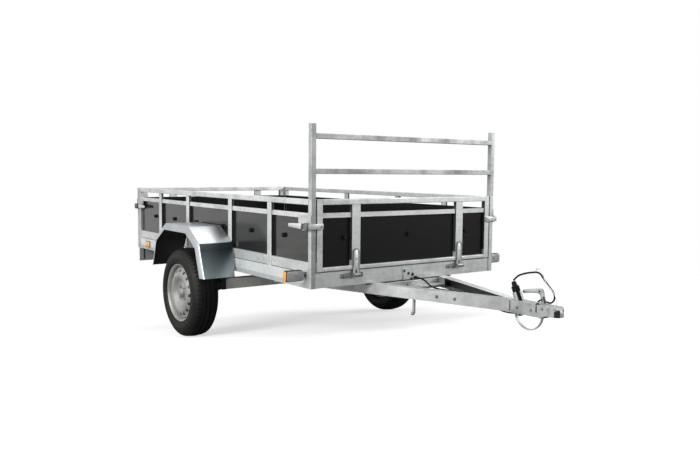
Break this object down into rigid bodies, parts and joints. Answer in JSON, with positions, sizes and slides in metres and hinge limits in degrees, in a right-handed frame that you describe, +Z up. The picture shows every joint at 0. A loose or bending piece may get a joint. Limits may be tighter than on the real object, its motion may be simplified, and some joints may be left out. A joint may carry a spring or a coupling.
{
  "type": "utility trailer",
  "caption": "Single-axle box trailer with drop-down front and rear gates, slatted side frames, headboard frame, folded mudguards and V drawbar, parked on the hoop under its coupling.",
  "frame": {"origin": "centre of the bounding box on the ground, without the free cable, its plug and the safety wire", "axes": "+X forward to the coupling, +Y left, +Z up"},
  "size_m": [3.5478, 1.8364, 1.1269],
  "materials": {
    "galvanised": "mottled hot-dip zinc, satin",
    "guard_sheet": "bright folded sheet",
    "axle_steel": "dull zinc",
    "wheel_steel": "silver lacquer",
    "phenolic": "smooth dark resin-coated board, semi-gloss",
    "tyre": "matte rubber",
    "black_plastic": "matte",
    "amber": "clear glossy lens",
    "red_lens": "clear glossy lens",
    "plate_white": "blank, satin",
    "wire": "thin stranded wire"
  },
  "bodies": {
    "trailer": {"axle_arm_left": "axle_steel", "axle_arm_right": "axle_steel", "axle_beam": "axle_steel", "axle_mounts": "galvanised", "cable": "black_plastic", "cable_gland": "black_plastic", "chassis_rail_left": "galvanised", "chassis_rail_right": "galvanised", "corner_post_front_left": "galvanised", "corner_post_front_right": "galvanised", "corner_post_rear_left": "galvanised", "corner_post_rear_right": "galvanised", "coupling_body": "galvanised", "coupling_handle": "galvanised", "drawbar_gusset": "galvanised", "drawbar_leg_left": "galvanised", "drawbar_leg_right": "galvanised", "floor_bearers": "galvanised", "front_cross_member": "galvanised", "headboard_frame": "galvanised", "hinge_brackets": "galvanised", "hook_rod": "galvanised", "lamp_board": "galvanised", "latch_catches": "galvanised", "load_floor": "phenolic", "marker_arms": "black_plastic", "marker_lenses": "amber", "mudguard_left": "guard_sheet", "mudguard_right": "guard_sheet", "mudguard_stays": "galvanised", "number_plate": "plate_white", "plug": "black_plastic", "plug_holder": "galvanised", "rear_cross_member": "galvanised", "rear_lamps": "red_lens", "safety_wire": "wire", "side_frame_left": "galvanised", "side_frame_right": "galvanised", "side_net_knobs": "black_plastic", "side_panel_left": "phenolic", "side_panel_right": "phenolic", "side_reflectors": "amber", "support_hoop": "galvanised"},
    "front_gate": {"front_gate_frame": "galvanised", "front_gate_hinge_straps": "galvanised", "front_gate_knobs": "black_plastic", "front_gate_latches": "galvanised", "front_gate_panel": "phenolic"},
    "rear_gate": {"rear_gate_frame": "galvanised", "rear_gate_hinge_straps": "galvanised", "rear_gate_knobs": "black_plastic", "rear_gate_latches": "galvanised", "rear_gate_panel": "phenolic"},
    "wheel_right": {"hub_right": "wheel_steel", "rim_right": "wheel_steel", "tyre_right": "tyre"},
    "wheel_left": {"hub_left": "wheel_steel", "rim_left": "wheel_steel", "tyre_left": "tyre"}
  },
  "joints": [
    {"name": "wheel_right_spin", "type": "hinge", "parent": "trailer", "child": "wheel_right", "pos_m": [-0.5089, -0.817, 0.285], "axis": [0, 1, 0], "continuous": true},
    {"name": "wheel_left_spin", "type": "hinge", "parent": "trailer", "child": "wheel_left", "pos_m": [-0.5089, 0.817, 0.285], "axis": [0, 1, 0], "continuous": true},
    {"name": "front_gate_drop", "type": "hinge", "parent": "trailer", "child": "front_gate", "pos_m": [0.74109, 0, 0.32359], "axis": [0, 1, 0], "range_deg": [0, 95]},
    {"name": "rear_gate_drop", "type": "hinge", "parent": "trailer", "child": "rear_gate", "pos_m": [-1.75128, 0, 0.70244], "axis": [0, -1, 0], "range_deg": [0, 180]}
  ]
}
